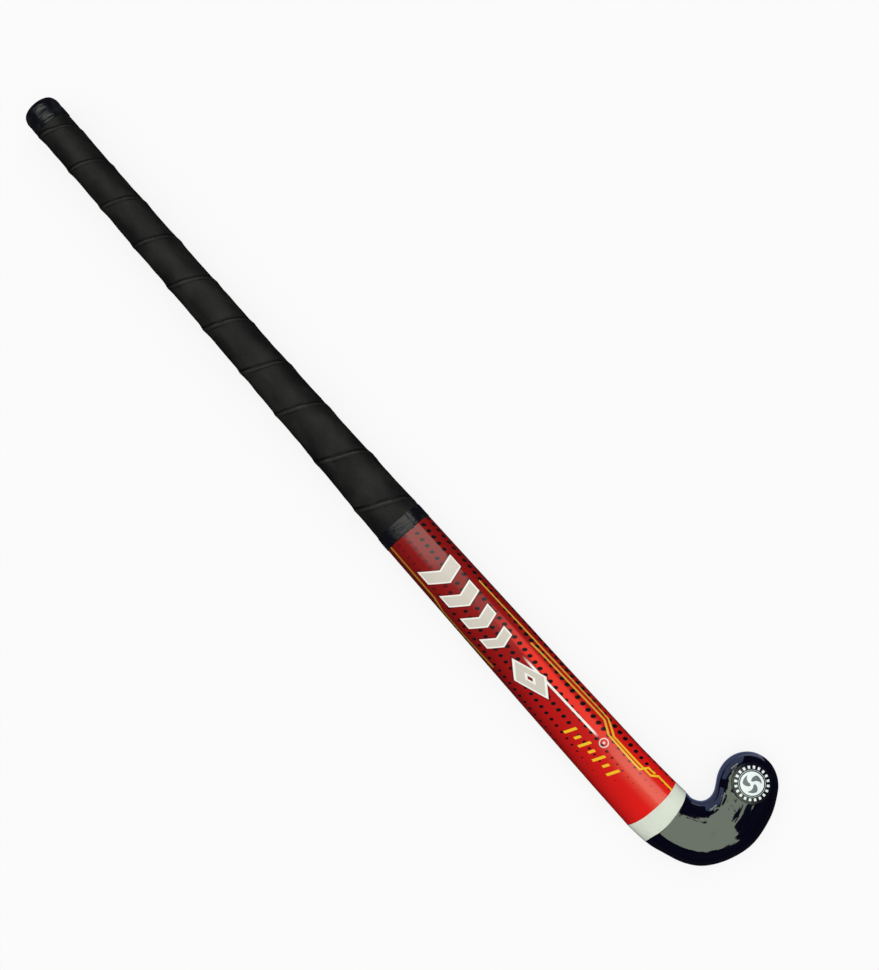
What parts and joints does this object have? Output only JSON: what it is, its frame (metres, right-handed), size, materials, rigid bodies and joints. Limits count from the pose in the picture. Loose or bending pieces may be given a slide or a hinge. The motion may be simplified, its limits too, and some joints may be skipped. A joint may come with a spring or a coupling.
{
  "type": "field hockey stick",
  "caption": "Wooden field hockey stick with hooked head, flat playing face, red printed shaft, pale collar band and taped oval handle.",
  "frame": {"origin": "middle of the footprint, on the plane of the playing face", "axes": "+X from the butt to the heel, +Y towards the toe, +Z out of the rounded back"},
  "size_m": [0.863, 0.1223, 0.0329],
  "materials": {
    "butt_rubber": "black rubber end cap",
    "finishing_tape": "glossy navy-black PVC tape with creases",
    "grip": "soft matte black grip tape with a faint grain",
    "underlay": "woven cotton tape",
    "twine": "waxed whipping twine",
    "cane": "bare cane",
    "spring_rubber": "thin rubber sheet",
    "glass_fibre": "glass cloth in clear resin",
    "red_film": "glossy printed film, red fading to maroon, with black dots and yellow lines",
    "pale_band": "off-white glossy band",
    "navy_lacquer": "navy-black lacquer with a mirror-like coat",
    "roundel": "round black and white sticker with plain rings and bars",
    "mulberry": "steam-bent mulberry strips"
  },
  "bodies": {
    "root": {"butt_cap": "butt_rubber", "butt_tape": "finishing_tape", "grip_wrap": "grip", "grip_underlay": "underlay", "twine_binding": "twine", "lower_tape": "finishing_tape", "handle_slip_1": "cane", "handle_slip_2": "cane", "handle_slip_3": "cane", "rubber_spring_1": "spring_rubber", "rubber_spring_2": "spring_rubber", "glass_sleeve": "glass_fibre", "shaft_film": "red_film", "collar_band": "pale_band", "head_skin": "navy_lacquer", "toe_roundel": "roundel", "head_ply_1": "mulberry", "head_ply_2": "mulberry", "head_ply_3": "mulberry", "head_ply_4": "mulberry", "head_ply_5": "mulberry", "head_ply_6": "mulberry", "head_ply_7": "mulberry"}
  },
  "joints": []
}
